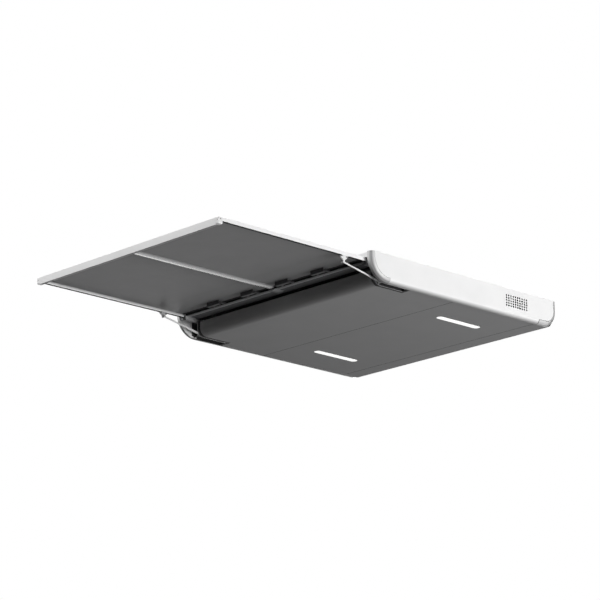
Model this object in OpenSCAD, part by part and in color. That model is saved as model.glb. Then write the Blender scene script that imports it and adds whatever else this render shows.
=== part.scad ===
// Retractable solar awning cassette: a flat overhead housing with a framed solar panel that slides
// out of its front mouth on rollers, hinged to a carriage and steadied by two slim struts.
// Millimetres. +X is the width, +Y runs from the pulled-out panel to the back, +Z is up.
// Sizes in Y are measured from the front of the corner trims, then moved so that the origin lies
// under the middle of the whole object.

/* [Cassette] */
// Overall width across the side rails
cassette_w = 1450; // [1200:10:1760]
// Depth from the front of the corner trims to the back
cassette_d = 1325; // [1100:5:1600]
// Height from the rail bottoms to the roof
cassette_h = 140; // [115:1:170]
// Width of a side rail
rail_t = 30; // [27:1:40]
// Wall left outside the pockets of a side rail
rail_wall = 4; // [3:0.5:6]
// Rounding of the lower outer edges
edge_r = 23; // [15:1:25]
// Largest outer radius of the front corners, seen from the side
front_r = 120; // [80:1:144]
// Outer radius of the back corners, seen from the side
back_r = 84; // [60:1:101]
// Length of a front corner trim along the bottom
front_trim = 130; // [125:1:160]
// Length of a back corner trim along the bottom
back_trim = 135; // [110:1:165]
// Seam between a trim and its rail
trim_gap = 0.6; // [0.3:0.1:0.9]

/* [Underside] */
// Thickness of the underside plates
plate_t = 3; // [2:0.5:4]
// Height of the plates above the rail bottoms
plate_lift = 3.3; // [2:0.1:5]
// Radius of the front plate's bend
plate_r = 42; // [36:1:48]
// Setback of the front plate's upright wall behind the trims
plate_setback = 89; // [82:1:96]
// Height of the mouth between the front plate and the panel
mouth_gap = 17.5; // [14:0.5:20]
// Radius of the back plate's bend
back_bend_r = 48; // [40:1:58]
// Setback of the back wall behind the trims
back_setback = 2; // [1:0.5:5]
// Distance from the back to the seam between front and middle plates
front_seam = 728; // [640:1:780]
// Distance from the back to the seam between middle and back plates
back_seam = 140; // [116:1:170]
// Width of the seams between plates
seam_gap = 1.2; // [0.6:0.1:2]
// Width of a strut slot
slot_w = 66; // [64:1:72]
// Depth of a strut slot from the front
slot_d = 300; // [240:1:340]
// Gap between the front plate and the rim of a strut slot
rim_gap = 0.6; // [0.3:0.1:1.2]
// Width of the rim of a strut slot
rim_w = 18; // [14:1:18]

/* [Roof and back] */
// Thickness of the roof cover
cover_t = 3; // [2:0.5:4]
// Depth of the lip over the mouth
lip_h = 23; // [18:0.5:24]
// Setback of the lip behind the trims
lip_setback = 12; // [6:1:16]
// Room between the mouth seal and the panel
seal_gap = 2.5; // [2:0.1:3.5]
// Thickness of a roof module
roof_module_t = 3.6; // [3:0.1:3.9]
// Depth of the rear rail
rear_rail_d = 25; // [20:1:35]
// Wall of the rear rail
rear_wall = 4; // [3:0.5:6]
// Spacing of the mounting holes across the back
mount_w = 1200; // [900:10:1300]
// Spacing of the mounting holes up the back
mount_h = 36; // [20:1:40]
// Radius of a mounting hole
mount_r = 4.5; // [3:0.1:6]

/* [Lights and sound] */
// Length of a light bar
light_l = 300; // [200:1:360]
// Width of a light bar
light_w = 40; // [30:1:50]
// Distance of a light bar from the middle
light_x = 450; // [430:1:500]
// Distance from the back to the middle of a light bar
light_back = 440; // [400:1:520]
// Clearance round a light lens
lens_gap = 0.3; // [0.2:0.1:0.6]
// Radius of a speaker hole
grille_r = 5.2; // [4:0.1:5.5]
// Spacing of the speaker holes along the rail
grille_pitch_y = 16.4; // [13:0.1:18]
// Spacing of the speaker holes up the rail
grille_pitch_z = 13; // [12:0.1:14]
// Distance from the back to the middle of the speaker holes
grille_back = 301; // [260:1:400]
// Height of the middle of the speaker holes
grille_z = 77.5; // [70:0.5:80]

/* [Panel] */
// Reach of the pulled-out panel in front of the cassette
panel_reach = 934; // [780:1:1130]
// Room between a side rail and the panel
panel_gap = 17; // [15:0.5:24]
// Depth from the roof to the top of the panel
panel_drop = 26.7; // [26:0.1:32]
// Height of the panel's rails
panel_rail_h = 18; // [15:0.5:22]
// Width of the panel's rails
panel_rail_w = 10; // [8:0.5:14]
// Thickness of the solar laminate
laminate_t = 4; // [3:0.1:5]
// Depth of the front bar
bar_d = 24; // [18:1:30]
// Height of the front bar
bar_h = 33; // [24:1:38]
// Rounding of the front bar
bar_r = 3; // [1:0.5:6]
// Length of a front bar end cap
bar_cap = 20; // [16:1:40]
// Width of the centre rib
rib_w = 56; // [40:1:70]
// Depth of the centre rib under the laminates
rib_h = 7; // [4:0.5:9]
// Width of the web between the two laminates
rib_web = 16; // [10:1:20]
// Depth of the panel's rear rail
panel_rear_d = 62; // [58:1:80]

/* [Carriage] */
// Gap between panel and carriage
carriage_gap = 3; // [2:0.5:6]
// Length of the carriage along its travel
carriage_l = 100; // [90:1:140]
// Depth of the carriage's front bar
carriage_bar = 28; // [22:1:32]
// Height of the carriage's bars above the bottom of the panel's rails
carriage_lift = 3.5; // [2:0.5:6]
// Drop of the carriage's end blocks below the panel's rails
end_drop = 16; // [12:1:17]
// Width of a carriage end block
end_block = 20; // [17:1:24]
// Radius of a guide roller
roller_r = 8; // [6.5:0.1:9.8]
// Width of a guide roller
roller_w = 7.5; // [6:0.1:8]
// Radius of a roller axle
axle_r = 3; // [2:0.1:4]
// Running clearance of pins and axles
pin_clear = 0.05; // [0.02:0.01:0.1]
// Room between a roller and its guide rail
roller_gap = 0.3; // [0.2:0.1:0.6]
// Wall of a guide rail
guide_t = 3; // [2:0.5:4]
// Depth of a guide rail
guide_w = 14; // [13:0.5:14.5]

/* [Hinges] */
// Distance of the inner hinges from the middle
hinge_x_inner = 128; // [100:1:180]
// Distance of the outer hinges from the middle
hinge_x_outer = 385; // [330:1:450]
// Distance from the panel's rear edge to the hinge line
hinge_setback = 39; // [32:1:46]
// Drop from the laminates to the hinge line
hinge_drop = 12.3; // [10:0.1:14]
// Radius of a hinge barrel
hinge_r = 7; // [5.5:0.1:8.4]
// Radius of a hinge pin
hinge_pin_r = 4; // [3:0.1:4.8]
// Length of the panel's knuckle
knuckle_l = 60; // [40:1:80]
// Length of each carriage knuckle
knuckle_end = 13; // [8:1:18]
// Gap between neighbouring knuckles
knuckle_gap = 0.5; // [0.3:0.1:1]

/* [Struts] */
// Distance from the panel's rear edge to the strut pivot
strut_pivot_y = 140; // [117:1:168]
// Drop from the panel's rails to the strut pivot
strut_pivot_drop = 25.5; // [22:0.5:28]
// Length of a strut from pivot to shoe
strut_l = 260; // [216:1:312]
// Radius of a strut rod
strut_r = 4.3; // [3.5:0.1:4.3]
// Radius of the thicker lower stretch of a strut
sleeve_r = 6; // [5:0.1:6]
// Length of the thicker lower stretch of a strut
sleeve_l = 70; // [40:1:100]
// Radius of a strut shoe
shoe_r = 6; // [5.5:0.1:7.2]
// Width of a strut eye
eye_w = 9; // [9:0.5:10]
// Radius of a strut eye
eye_r = 6; // [5:0.1:7.2]
// Radius of a strut pin
strut_pin_r = 2.5; // [2:0.1:3]
// Thickness of a strut bracket
bracket_t = 6; // [4:0.5:8]
// Length of a strut bracket along the panel
bracket_l = 44; // [36:1:60]
// Width of a strut track
track_w = 19; // [14:1:24]
// Thickness of a strut track
track_t = 3.2; // [2:0.1:4]

/* [Power] */
// Width of a battery pack
battery_w = 380; // [250:1:400]
// Length of a battery pack
battery_l = 420; // [300:1:460]
// Height of a battery pack
battery_h = 46; // [30:1:48]
// Distance of a battery pack from the middle
battery_gap = 15; // [8:1:40]
// Width of the charge controller
controller_w = 240; // [160:1:320]
// Length of the charge controller
controller_l = 120; // [90:1:140]
// Height of the charge controller with its fins
controller_h = 44; // [30:1:48]
// Number of cooling fins
fin_count = 12; // [6:1:16]

/* [Hidden] */
$fn = 96;
// Facets of the rib's large circle
rib_fn = 720;
// Overlap that keeps cuts clean
cut = 1;
// Shift that puts the origin under the middle of the object
datum_y = (panel_reach - cassette_d) / 2;
// Outer and inner faces of a side rail
half_w = cassette_w / 2;
inner_x = half_w - rail_t;
// Front corner radius, limited so that the trim keeps an upright top
corner_upright = 15;
corner_r = min(front_r, cassette_h - corner_upright);
// Underside and top faces of the underside plates
plate_z = plate_lift;
plate_top = plate_lift + plate_t;
// Heights of the panel, with the laminates sunk a little below its top
panel_top = cassette_h - panel_drop;
panel_z = panel_top - panel_rail_h;
sheet_z = panel_top - laminate_t;
bar_z = panel_top - bar_h;
laminate_sink = 0.3;
// Upper edge of the front plate
mouth_z = panel_z - mouth_gap;
// Half widths of the front plate, the panel and the carriage
plate_half = inner_x - slot_w;
panel_half = inner_x - panel_gap;
carriage_inset = 2;
carriage_half = panel_half - carriage_inset;
// Plate seams, light bars and speaker, measured from the front
front_seam_y = cassette_d - front_seam;
back_seam_y = cassette_d - back_seam;
light_y = cassette_d - light_back;
grille_y = cassette_d - grille_back;
grille_columns = 10;
grille_rows = 5;
// Light lens flange and board
lens_flange = 5;
lens_flange_t = 2;
board_t = 1.6;
board_margin = 2;
// Speaker pocket and driver
speaker_l = grille_columns * grille_pitch_y;
speaker_h = grille_rows * grille_pitch_z;
speaker_gap = 1;
speaker_t = 3;
magnet_r = 22;
magnet_t = 12;
// Roof cover, its modules and the mouth seal
cover_top = cassette_h - rear_wall;
cover_z = cover_top - cover_t;
cover_gap = 2;
lip_z = cassette_h - lip_h;
lip_back = lip_setback + cover_t;
module_gap = 3;
seal_t = 5;
// Rear rail and its outlet
rear_y = cassette_d - back_setback;
rear_front = rear_y - rear_rail_d;
rear_z = plate_z + back_bend_r;
mount_z = (rear_z + cover_top) / 2;
socket_r = 8;
socket_wall = 3;
socket_flange_r = 14;
socket_inset = 90;
socket_x = mount_w / 2 - socket_inset;
// Panel along its travel, with the carriage just inside the lip
panel_front = -panel_reach;
bar_back = panel_front + bar_d;
lip_overlap = 2;
carriage_front = lip_back - lip_overlap;
panel_back = carriage_front - carriage_gap;
leaf_front = panel_back - panel_rear_d;
// Travel that brings the front bar level with the corner trims
travel = panel_reach;
// Carriage
carriage_back = carriage_front + carriage_l;
carriage_z = panel_z + carriage_lift;
cover_plate_t = 3;
cover_back = carriage_back - carriage_bar / 2;
stub_l = 60;
end_from = carriage_half - end_block;
// Guide rollers and rails
roller_drop = 5;
roller_front_inset = 27;
roller_rear_inset = 18;
roller_side_gap = 1.5;
roller_z = (panel_z + panel_top) / 2 - roller_drop;
roller_ys = [carriage_front + roller_front_inset, carriage_back - roller_rear_inset];
guide_x = inner_x - guide_w;
guide_web = inner_x - guide_t;
guide_low = roller_z - roller_r - roller_gap - guide_t;
guide_high = roller_z + roller_r + roller_gap + guide_t;
roller_x = guide_web - roller_w - roller_side_gap;
head_margin = 2;
axle_head_r = axle_r + head_margin;
axle_head_t = 0.8;
axle_head_gap = 0.2;
stop_l = 14;
stop_gap = 0.5;
stop_inset = 1;
stop_y = roller_ys[1] + travel + roller_r + stop_gap;
guide_end = 12;
guide_from = lip_back;
guide_to = stop_y + stop_l + guide_end;
// Pockets of a side rail, above and below the guide rail
pocket_margin = 15;
pocket_web = 4;
pocket_floor = edge_r + pocket_web;
pocket_roof = cover_z - cover_gap;
// Hinges
hinge_z = sheet_z - hinge_drop;
hinge_y = panel_back - hinge_setback;
hinge_xs = [-hinge_x_outer, -hinge_x_inner, hinge_x_inner, hinge_x_outer];
pin_half = knuckle_l / 2 + knuckle_gap + knuckle_end;
pad_margin = 2;
// Struts and their brackets
pivot_y = panel_back - strut_pivot_y;
pivot_z = panel_z - strut_pivot_drop;
track_lift = 5.9;
track_top = plate_top + track_lift;
shoe_z = track_top + roller_gap + shoe_r;
strut_drop = pivot_z - shoe_z;
strut_angle = asin(strut_drop / strut_l);
shoe_y = pivot_y + strut_l * cos(strut_angle);
bracket_inset = 14;
bracket_foot = 2;
bracket_plate_t = 3;
bracket_x = panel_half - bracket_inset;
eye_gap = 1.5;
eye_x = bracket_x - eye_gap - eye_w;
track_x = inner_x - track_w;
shoe_margin = 3.5;
shoe_side_gap = 5;
shoe_from = eye_x - shoe_margin;
shoe_to = inner_x - shoe_side_gap;
pin_head_r = strut_pin_r + head_margin;
pin_head_t = 1.5;
pin_head_gap = 0.5;
track_from = slot_d / 3;
track_end = 50;
track_to = min(shoe_y + travel + track_end, rear_y - back_bend_r);
// Slot liner
liner_lip = 20;
liner_flange = 2;
liner_wall = 3.3;
liner_gap = 2;
rim_clear = 1;
liner_z = track_top + liner_gap;
// Power pieces
controller_inset = 70;
battery_inset = 40;
controller_y = cassette_d - controller_inset - controller_l;
battery_y = controller_y - battery_inset - battery_l;
battery_r = 12;
strap_w = 30;
strap_t = 2;
strap_foot = 14;
terminal_r = 6;
terminal_h = 4;
terminal_inset = 40;
terminal_shares = [0.3, 0.7];
fin_t = 3;
fin_share = 0.4;
fin_base = controller_h * (1 - fin_share);
// Small fasteners
screw_r = 2.2;
screw_depth = 5;
screw_sink = 0.8;
head_r = 3.6;
head_h = 2.2;
head_edge = 1;
face_screw_drop = 12;
end_screw_drop = 9;
face_screw_z = panel_top - face_screw_drop;
end_screw_z = panel_top - end_screw_drop;

// Moves a piece from the trims' front to the object's own origin
module place() { translate([0, datum_y, 0]) children(); }

// Draws a right-hand piece, or its mirror image on the left
module on_side(side) { place() mirror([side < 0 ? 1 : 0, 0, 0]) children(); }

// Extrudes an outline in Y and Z along X
module along_x(from, to) { translate([from, 0, 0]) rotate([90, 0, 90]) linear_extrude(to - from) children(); }

// Extrudes an outline in X and Z along Y
module along_y(from, to) { translate([0, to, 0]) rotate([90, 0, 0]) linear_extrude(to - from) children(); }

// Extrudes an outline in X and Y along Z
module along_z(from, to) { translate([0, 0, from]) linear_extrude(to - from) children(); }

// Block between two corners
module block(low, high) { translate(low) cube(high - low); }

// Round bars along each axis
module rod_x(y, z, r, from, to) { translate([from, y, z]) rotate([0, 90, 0]) cylinder(to - from, r = r); }
module rod_y(x, z, r, from, to) { translate([x, from, z]) rotate([-90, 0, 0]) cylinder(to - from, r = r); }
module rod_z(x, y, r, from, to) { translate([x, y, from]) cylinder(to - from, r = r); }

// Rectangle between two corners with rounded corners
module rounded(low, high, r) {
    size = high - low;
    translate(low + [r, 0]) square([size[0] - 2 * r, size[1]]);
    translate(low + [0, r]) square([size[0], size[1] - 2 * r]);
    for (x = [r, size[0] - r], y = [r, size[1] - r]) translate(low + [x, y]) circle(r);
}

// Bar outline with round ends, lengthwise in Y
module stadium(length, width) {
    straight = length - width;
    translate([-width / 2, -straight / 2]) square([width, straight]);
    for (end = [-1, 1]) translate([0, end * straight / 2]) circle(width / 2);
}

// What is cut from a square corner to round it
module corner_cut(r) {
    difference() {
        translate([-cut, -cut]) square(r + cut);
        translate([r, r]) circle(r);
    }
}

// Section of the rounded edge, from the outside inwards
module edge_strip() {
    intersection() {
        translate([inner_x, 0]) square([rail_t, edge_r]);
        union() {
            translate([inner_x, 0]) square([rail_t - edge_r, edge_r]);
            translate([half_w - edge_r, edge_r]) circle(edge_r);
        }
    }
}

// Quarter turn of the edge section, from the bottom to the upright
module edge_turn(r, toward) {
    rotate([0, 90, 0])
        rotate([0, 0, toward < 0 ? -90 : 0])
            rotate_extrude(angle = 90)
                translate([r, 0]) rotate(90) edge_strip();
}

// Flat side face inside the trims, seen from the side
module web_outline() {
    inset = edge_r + trim_gap;
    difference() {
        translate([inset, inset]) square([cassette_d - 2 * inset, cassette_h - inset]);
        translate([inset, inset]) corner_cut(corner_r - inset);
        translate([cassette_d - inset, inset]) mirror([1, 0]) corner_cut(back_r - inset);
    }
}

// Right side rail with its pockets, which open towards the inside
module side_rail_solid() {
    pocket_from = front_trim + pocket_margin;
    pocket_to = cassette_d - back_trim - pocket_margin;
    pocket_x = half_w - rail_wall;
    difference() {
        union() {
            along_x(inner_x, half_w) web_outline();
            along_y(front_trim, cassette_d - back_trim) union() {
                edge_strip();
                translate([inner_x, edge_r - cut]) square([rail_t, trim_gap + 2 * cut]);
            }
        }
        block([inner_x - cut, pocket_from, pocket_floor], [pocket_x, pocket_to, guide_low - pocket_web]);
        block([inner_x - cut, pocket_from, guide_high + pocket_web], [pocket_x, pocket_to, pocket_roof]);
    }
}

module side_rail_left() { color("whitesmoke") on_side(-1) side_rail_solid(); }

module side_rail_right() {
    half_l = speaker_l / 2 + speaker_gap;
    half_h = speaker_h / 2 + speaker_gap;
    color("whitesmoke") on_side(1) difference() {
        side_rail_solid();
        block([inner_x - cut, grille_y - half_l, grille_z - half_h],
              [half_w - rail_wall, grille_y + half_l, grille_z + half_h]);
        for (column = [0:grille_columns - 1], row = [0:grille_rows - 1])
            rod_x(grille_y + (column - (grille_columns - 1) / 2) * grille_pitch_y,
                  grille_z + (row - (grille_rows - 1) / 2) * grille_pitch_z,
                  grille_r, half_w - rail_wall - cut, half_w + cut);
    }
}

// Front corner trim: up the front, round the corner and back to its seam
module front_corner_solid() {
    union() {
        along_z(corner_r, cassette_h) edge_strip();
        translate([0, corner_r, corner_r]) edge_turn(corner_r, -1);
        along_y(corner_r, front_trim - trim_gap) edge_strip();
    }
}

module front_corner_left() { color("white") on_side(-1) front_corner_solid(); }
module front_corner_right() { color("white") on_side(1) front_corner_solid(); }

// Back corner trim, the other way round
module back_corner_solid() {
    union() {
        translate([0, cassette_d, 0]) mirror([0, 1, 0]) along_z(back_r, cassette_h) edge_strip();
        translate([0, cassette_d - back_r, back_r]) edge_turn(back_r, 1);
        along_y(cassette_d - back_trim + trim_gap, cassette_d - back_r) edge_strip();
    }
}

module back_corner_left() { color("white") on_side(-1) back_corner_solid(); }
module back_corner_right() { color("white") on_side(1) back_corner_solid(); }

// Section of the front wall and bend, inwards from a given depth under its outer face
module front_bend(depth, thickness, flat_to) {
    centre_y = plate_setback + plate_r;
    centre_z = plate_z + plate_r;
    intersection() {
        translate([centre_y, centre_z]) difference() {
            circle(plate_r - depth);
            circle(plate_r - depth - thickness);
        }
        translate([plate_setback, plate_z]) square(plate_r);
    }
    translate([plate_setback + depth, centre_z]) square([thickness, mouth_z - centre_z]);
    translate([centre_y, plate_z + depth]) square([flat_to - centre_y, thickness]);
}

module front_plate() {
    color("dimgray") place() union() {
        along_x(-plate_half, plate_half) front_bend(0, plate_t, slot_d + cut);
        block([-inner_x, slot_d, plate_z], [inner_x, front_seam_y - seam_gap / 2, plate_top]);
    }
}

module middle_plate() {
    color("dimgray") place() difference() {
        block([-inner_x, front_seam_y + seam_gap / 2, plate_z],
              [inner_x, back_seam_y - seam_gap / 2, plate_top]);
        for (side = [-1, 1]) translate([side * light_x, light_y, 0])
            along_z(plate_z - cut, plate_top + cut) stadium(light_l, light_w);
    }
}

module back_plate() {
    centre_y = rear_y - back_bend_r;
    flat_from = back_seam_y + seam_gap / 2;
    color("dimgray") place() along_x(-inner_x, inner_x) union() {
        translate([flat_from, plate_z]) square([centre_y - flat_from, plate_t]);
        intersection() {
            translate([centre_y, rear_z]) difference() {
                circle(back_bend_r);
                circle(back_bend_r - plate_t);
            }
            translate([centre_y, 0]) square([back_bend_r, rear_z]);
        }
    }
}

// Channel across the back, open to the inside, with the mounting holes and the outlet
module rear_rail() {
    color("gainsboro") place() difference() {
        along_x(-inner_x, inner_x) difference() {
            translate([rear_front, rear_z]) square([rear_rail_d, cassette_h - rear_z]);
            translate([rear_front - cut, rear_z + rear_wall])
                square([rear_rail_d - rear_wall + cut, cassette_h - rear_z - 2 * rear_wall]);
        }
        for (x = [-1, 1], z = [-1, 1])
            rod_y(x * mount_w / 2, mount_z + z * mount_h / 2, mount_r,
                  rear_y - rear_wall - cut, rear_y + cut);
        rod_y(socket_x, mount_z, socket_r, rear_y - rear_wall - cut, rear_y + cut);
    }
}

module roof_cover() {
    color("white") place() union() {
        block([-inner_x, lip_setback, cover_z], [inner_x, rear_y - rear_wall - cover_gap, cover_top]);
        block([-inner_x, lip_setback, lip_z], [inner_x, lip_back, cassette_h]);
    }
}

module roof_module_solid() {
    block([rib_web / 2, lip_back + module_gap, cover_top],
          [inner_x - module_gap, rear_front - module_gap, cover_top + roof_module_t]);
}

module roof_module_left() { color("midnightblue") on_side(-1) roof_module_solid(); }
module roof_module_right() { color("midnightblue") on_side(1) roof_module_solid(); }

// Channel that the rollers run in, open towards the carriage
module guide_rail_solid() {
    along_y(guide_from, guide_to) difference() {
        translate([guide_x, guide_low]) square([guide_w, guide_high - guide_low]);
        translate([guide_x - cut, guide_low + guide_t])
            square([guide_w - guide_t + cut, guide_high - guide_low - 2 * guide_t]);
    }
}

module guide_rail_left() { color("darkgray") on_side(-1) guide_rail_solid(); }
module guide_rail_right() { color("darkgray") on_side(1) guide_rail_solid(); }

module guide_stops() {
    color("black") for (side = [-1, 1]) on_side(side)
        block([guide_x + stop_inset, stop_y, guide_low + guide_t],
              [guide_web, stop_y + stop_l, guide_high - guide_t]);
}

// Diffuser with a flange that lies on the plate
module light_lens_solid() {
    translate([light_x, light_y, 0]) union() {
        along_z(plate_z - lens_gap, plate_top) stadium(light_l - 2 * lens_gap, light_w - 2 * lens_gap);
        along_z(plate_top, plate_top + lens_flange_t)
            stadium(light_l + 2 * lens_flange, light_w + 2 * lens_flange);
    }
}

module light_lens_left() { color("ivory") on_side(-1) light_lens_solid(); }
module light_lens_right() { color("ivory") on_side(1) light_lens_solid(); }

module light_boards() {
    board_z = plate_top + lens_flange_t;
    color("darkgreen") for (side = [-1, 1]) on_side(side) translate([light_x, light_y, 0])
        along_z(board_z, board_z + board_t) stadium(light_l - 2 * board_margin, light_w - 2 * board_margin);
}

// Flat driver in its pocket behind the speaker holes
module speaker_driver() {
    face = half_w - rail_wall;
    color("black") on_side(1) union() {
        block([face - speaker_t, grille_y - speaker_l / 2, grille_z - speaker_h / 2],
              [face, grille_y + speaker_l / 2, grille_z + speaker_h / 2]);
        for (end = [-1, 1])
            rod_x(grille_y + end * speaker_l / 4, grille_z, magnet_r,
                  face - speaker_t - magnet_t, face - speaker_t);
    }
}

// Battery pack with two terminals on its rear half
module battery_solid() {
    union() {
        along_z(plate_top, plate_top + battery_h)
            rounded([battery_gap, battery_y], [battery_gap + battery_w, battery_y + battery_l], battery_r);
        for (share = terminal_shares)
            rod_z(battery_gap + share * battery_w, battery_y + battery_l - terminal_inset, terminal_r,
                  plate_top + battery_h, plate_top + battery_h + terminal_h);
    }
}

module battery_left() { color("slategray") on_side(-1) battery_solid(); }
module battery_right() { color("slategray") on_side(1) battery_solid(); }

module battery_straps() {
    strap_y = battery_y + battery_l / 2;
    outside = battery_gap + battery_w;
    top = plate_top + battery_h;
    color("silver") for (side = [-1, 1])
    on_side(side) along_y(strap_y - strap_w / 2, strap_y + strap_w / 2) union() {
        translate([battery_gap - strap_t, top]) square([battery_w + 2 * strap_t, strap_t]);
        translate([battery_gap - strap_t, plate_top]) square([strap_t, battery_h + cut]);
        translate([outside, plate_top]) square([strap_t, battery_h + cut]);
        translate([outside, plate_top]) square([strap_foot, strap_t]);
    }
}

module charge_controller() {
    pitch = (controller_w - fin_t) / (fin_count - 1);
    color("black") place() union() {
        block([-controller_w / 2, controller_y, plate_top],
              [controller_w / 2, controller_y + controller_l, plate_top + fin_base]);
        for (fin = [0:fin_count - 1]) translate([fin * pitch - controller_w / 2, 0, 0])
            block([0, controller_y, plate_top + fin_base - cut],
                  [fin_t, controller_y + controller_l, plate_top + controller_h]);
    }
}

// Rim that follows the slot's inner edge, with a flange behind the plate, and a lining on the rail
module slot_liner_solid() {
    rim_x = plate_half + rim_gap;
    rim_to = rim_x + rim_w;
    union() {
        along_x(rim_x, rim_to) front_bend(0, plate_t + liner_flange, slot_d);
        along_x(rim_to - liner_wall, rim_to) front_bend(0, liner_lip, slot_d);
        along_x(plate_half - liner_lip, rim_to) front_bend(plate_t, liner_flange, slot_d);
        block([rim_x, slot_d - rim_w, plate_z], [inner_x, slot_d, track_top - track_t - rim_clear]);
    }
    block([inner_x - liner_wall, plate_setback, liner_z], [inner_x, slot_d, guide_low - liner_gap]);
}

module slot_liner_left() { color("black") on_side(-1) slot_liner_solid(); }
module slot_liner_right() { color("black") on_side(1) slot_liner_solid(); }

// Ledge on the rail that a strut's shoe slides along
module strut_track_solid() {
    block([track_x, track_from, track_top - track_t], [inner_x, track_to, track_top]);
}

module strut_track_left() { color("black") on_side(-1) strut_track_solid(); }
module strut_track_right() { color("black") on_side(1) strut_track_solid(); }

module mouth_seal() {
    color("black") place()
        block([-inner_x, lip_back, panel_top + seal_gap], [inner_x, lip_back + seal_t, cover_z]);
}

module outlet_socket() {
    color("black") place() difference() {
        union() {
            rod_y(socket_x, mount_z, socket_r - lens_gap, rear_y - rear_wall, rear_y);
            rod_y(socket_x, mount_z, socket_flange_r, rear_front, rear_y - rear_wall);
        }
        rod_y(socket_x, mount_z, socket_r - socket_wall, rear_front + socket_wall, rear_y + cut);
    }
}

// Carriage pieces
module carriage_front_bar() {
    color("darkgray") place()
        block([-end_from, carriage_front, carriage_z], [end_from, carriage_front + carriage_bar, panel_top]);
}

module carriage_rear_bar() {
    color("black") place()
        block([-end_from, carriage_back - carriage_bar / 2, carriage_z],
              [end_from, carriage_back, panel_top]);
}

// End block with the roller axles
module carriage_end_solid() {
    difference() {
        along_x(end_from, carriage_half)
            rounded([carriage_front, panel_z - end_drop], [carriage_back, panel_top], bar_r);
        for (y = roller_ys) rod_x(y, roller_z, axle_r, carriage_half - end_block / 2, carriage_half + cut);
    }
}

module carriage_end_left() { color("silver") on_side(-1) carriage_end_solid(); }
module carriage_end_right() { color("silver") on_side(1) carriage_end_solid(); }

// Shallow round section of the centre rib, hanging from a given height
module rib_section(top, depth) {
    radius = (rib_w * rib_w / 4 + depth * depth) / (2 * depth);
    intersection() {
        translate([0, top - depth + radius]) circle(radius, $fn = rib_fn);
        translate([-rib_w / 2, top - depth]) square([rib_w, depth]);
    }
}

// Short rib under the carriage that carries on the panel's rib
module carriage_stub() {
    color("silver") place() along_y(carriage_front, carriage_front + stub_l) rib_section(carriage_z, rib_h);
}

// Flat plates between the carriage's bars, which meet in the middle
module carriage_covers() {
    color("dimgray") for (side = [-1, 1]) on_side(side)
        block([seam_gap / 2, carriage_front + carriage_bar, carriage_z],
              [end_from, cover_back, carriage_z + cover_plate_t]);
}

// Fixed axle with a head that keeps its roller on
module roller_axles() {
    head = roller_x + roller_w + axle_head_gap;
    color("silver") for (side = [-1, 1], y = roller_ys) on_side(side) union() {
        rod_x(y, roller_z, axle_r, carriage_half - end_block / 2, head + axle_head_t);
        rod_x(y, roller_z, axle_head_r, head, head + axle_head_t);
    }
}

module roller_solid(y) {
    difference() {
        rod_x(y, roller_z, roller_r, roller_x, roller_x + roller_w);
        rod_x(y, roller_z, axle_r + pin_clear, roller_x - cut, roller_x + roller_w + cut);
    }
}

module roller_front_left() { color("dimgray") on_side(-1) roller_solid(roller_ys[0]); }
module roller_front_right() { color("dimgray") on_side(1) roller_solid(roller_ys[0]); }
module roller_rear_left() { color("dimgray") on_side(-1) roller_solid(roller_ys[1]); }
module roller_rear_right() { color("dimgray") on_side(1) roller_solid(roller_ys[1]); }

// Two outer knuckles for each hinge, on arms from the carriage's front bar
module hinge_carriage_leaves() {
    color("black") place() for (x = hinge_xs, end = [-1, 1]) {
        from = end < 0 ? x - pin_half : x + knuckle_l / 2 + knuckle_gap;
        difference() {
            union() {
                rod_x(hinge_y, hinge_z, hinge_r, from, from + knuckle_end);
                block([from, hinge_y, hinge_z], [from + knuckle_end, carriage_front, hinge_z + hinge_r]);
            }
            rod_x(hinge_y, hinge_z, hinge_pin_r, from - cut, from + knuckle_end + cut);
        }
    }
}

module hinge_pins() {
    color("silver") place() for (x = hinge_xs)
        rod_x(hinge_y, hinge_z, hinge_pin_r, x - pin_half, x + pin_half);
}

// Middle knuckle of each hinge, on a pad under the panel's rear rail
module hinge_panel_leaves() {
    color("black") place() for (x = hinge_xs) difference() {
        union() {
            rod_x(hinge_y, hinge_z, hinge_r, x - knuckle_l / 2, x + knuckle_l / 2);
            block([x - knuckle_l / 2, hinge_y - hinge_r - pad_margin, hinge_z],
                  [x + knuckle_l / 2, hinge_y + hinge_r, sheet_z]);
        }
        rod_x(hinge_y, hinge_z, hinge_pin_r + pin_clear, x - knuckle_l / 2 - cut, x + knuckle_l / 2 + cut);
    }
}

// Panel pieces
module panel_rail_solid() {
    block([panel_half - panel_rail_w, bar_back, panel_z], [panel_half, panel_back, panel_top]);
}

module panel_rail_left() { color("white") on_side(-1) panel_rail_solid(); }
module panel_rail_right() { color("white") on_side(1) panel_rail_solid(); }

module panel_rear_rail() {
    color("dimgray") place()
        block([-panel_half + panel_rail_w, leaf_front, sheet_z],
              [panel_half - panel_rail_w, panel_back, panel_top]);
}

module bar_outline() { rounded([panel_front, bar_z], [bar_back, panel_top], bar_r); }

module front_bar() {
    color("white") place() along_x(-panel_half + bar_cap, panel_half - bar_cap) bar_outline();
}

// End cap with a rounded lower corner and two screw holes
module bar_cap_solid() {
    difference() {
        intersection() {
            along_x(panel_half - bar_cap, panel_half) bar_outline();
            along_y(panel_front - cut, bar_back + cut) difference() {
                translate([panel_half - bar_cap, bar_z]) square([bar_cap, bar_h]);
                translate([panel_half, bar_z]) mirror([1, 0]) corner_cut(2 * bar_r);
            }
        }
        rod_y(panel_half - bar_cap / 2, face_screw_z, screw_r + pin_clear,
              panel_front - cut, panel_front + screw_depth);
        rod_x(panel_front + bar_d / 2, end_screw_z, screw_r + pin_clear,
              panel_half - screw_depth, panel_half + cut);
    }
}

module bar_cap_left() { color("white") on_side(-1) bar_cap_solid(); }
module bar_cap_right() { color("white") on_side(1) bar_cap_solid(); }

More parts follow.
